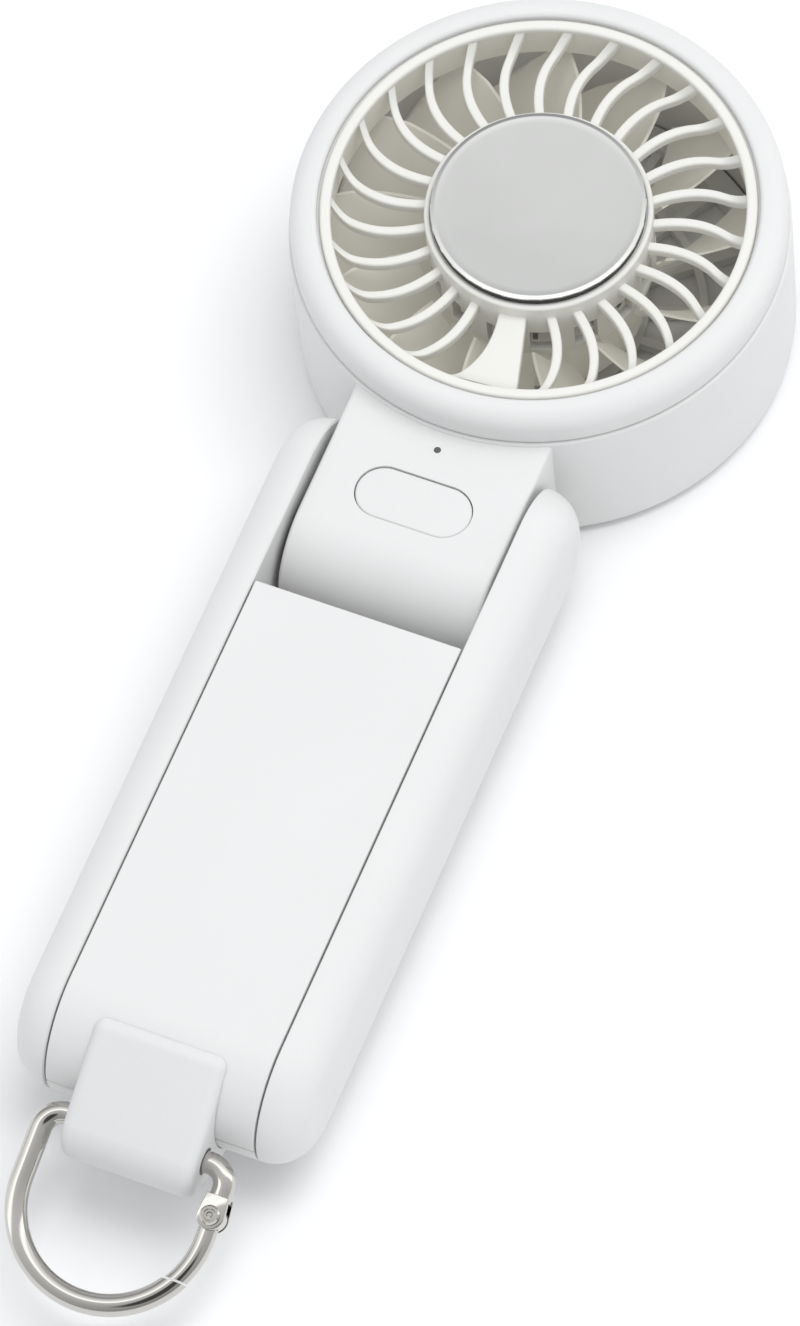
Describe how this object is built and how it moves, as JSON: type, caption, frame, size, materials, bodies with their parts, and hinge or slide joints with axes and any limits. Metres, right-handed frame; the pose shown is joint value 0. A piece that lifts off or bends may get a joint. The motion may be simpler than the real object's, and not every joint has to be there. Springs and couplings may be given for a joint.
{
  "type": "handheld electric fan",
  "caption": "Foldable handheld turbo fan with a round head, cooling plate, flat rounded handle, strap loop and carabiner.",
  "frame": {"origin": "middle of the whole object's box, on the plane that the back of the head rests on", "axes": "+Z out of the front of the fan, +Y along the handle towards the head, +X to the right seen from the front"},
  "size_m": [0.076, 0.2208, 0.0338],
  "materials": {
    "white_shell": "fine matte, slightly warm white",
    "cream_grille": "satin, cream white",
    "soft_loop": "soft matte white silicone",
    "impeller_grey": "satin, grey beige",
    "dark_plastic": "matte",
    "circuit_board": "satin solder mask",
    "ceramic": "smooth ceramic",
    "cooling_metal": "satin mirror with a polished bevel",
    "aluminium": "extruded, satin",
    "steel": "satin",
    "nickel": "polished nickel plate",
    "copper": "enamelled copper wire",
    "battery_wrap": "gloss shrink wrap over a metal can",
    "light_pipe": "clear grey"
  },
  "bodies": {
    "handle": {"handle_core": "white_shell", "front_panel": "white_shell", "left_cheek": "white_shell", "right_cheek": "white_shell", "battery_cell": "battery_wrap", "cradle_rail_left": "dark_plastic", "cradle_rail_right": "dark_plastic", "main_board": "circuit_board", "usb_c_socket": "steel", "hinge_pin_left": "steel", "hinge_pin_right": "steel", "strap_loop": "soft_loop", "back_screw_1": "steel", "back_screw_2": "steel", "back_screw_3": "steel", "back_screw_4": "steel"},
    "head": {"head_shell": "white_shell", "front_bezel": "white_shell", "front_grille": "cream_grille", "cooling_plate": "cooling_metal", "thermoelectric_module": "ceramic", "heat_sink": "aluminium", "rear_grille": "white_shell", "motor_board": "circuit_board", "motor_stator": "copper", "bearing_lower": "steel", "bearing_upper": "steel", "motor_screw_1": "steel", "motor_screw_2": "steel", "motor_screw_3": "steel", "neck_cover": "white_shell", "button_board": "circuit_board", "button_switch": "dark_plastic", "led_light_pipe": "light_pipe", "friction_washer_left": "dark_plastic", "friction_washer_right": "dark_plastic"},
    "fan_wheel": {"impeller": "impeller_grey", "rotor_cup": "steel", "magnet_ring": "dark_plastic", "motor_shaft": "steel"},
    "button": {"power_button": "white_shell"},
    "carabiner": {"ring_body": "nickel", "gate_rivet": "nickel"},
    "gate": {"ring_gate": "nickel"}
  },
  "joints": [
    {"name": "head_tilt", "type": "hinge", "parent": "handle", "child": "head", "pos_m": [0, 0.01537, 0.017], "axis": [1, 0, 0], "range_deg": [0, 90]},
    {"name": "fan_spin", "type": "hinge", "parent": "head", "child": "fan_wheel", "pos_m": [0, 0.07236, 0], "axis": [0, 0, 1], "continuous": true},
    {"name": "button_press", "type": "slide", "parent": "head", "child": "button", "axis": [0, 0, -1], "range_m": [0, 0.0005], "stiffness_N_per_m": 400, "springref_m": -0.0005},
    {"name": "ring_swing", "type": "hinge", "parent": "handle", "child": "carabiner", "pos_m": [0, -0.08464, 0.017], "axis": [1, 0, 0], "range_deg": [-120, 90]},
    {"name": "gate_open", "type": "hinge", "parent": "carabiner", "child": "gate", "pos_m": [0.0144, -0.09175, 0.01496], "axis": [0, 0.2756, -0.9613], "range_deg": [0, 25], "stiffness_Nm_per_rad": 0.02, "springref_deg": -11.46}
  ]
}
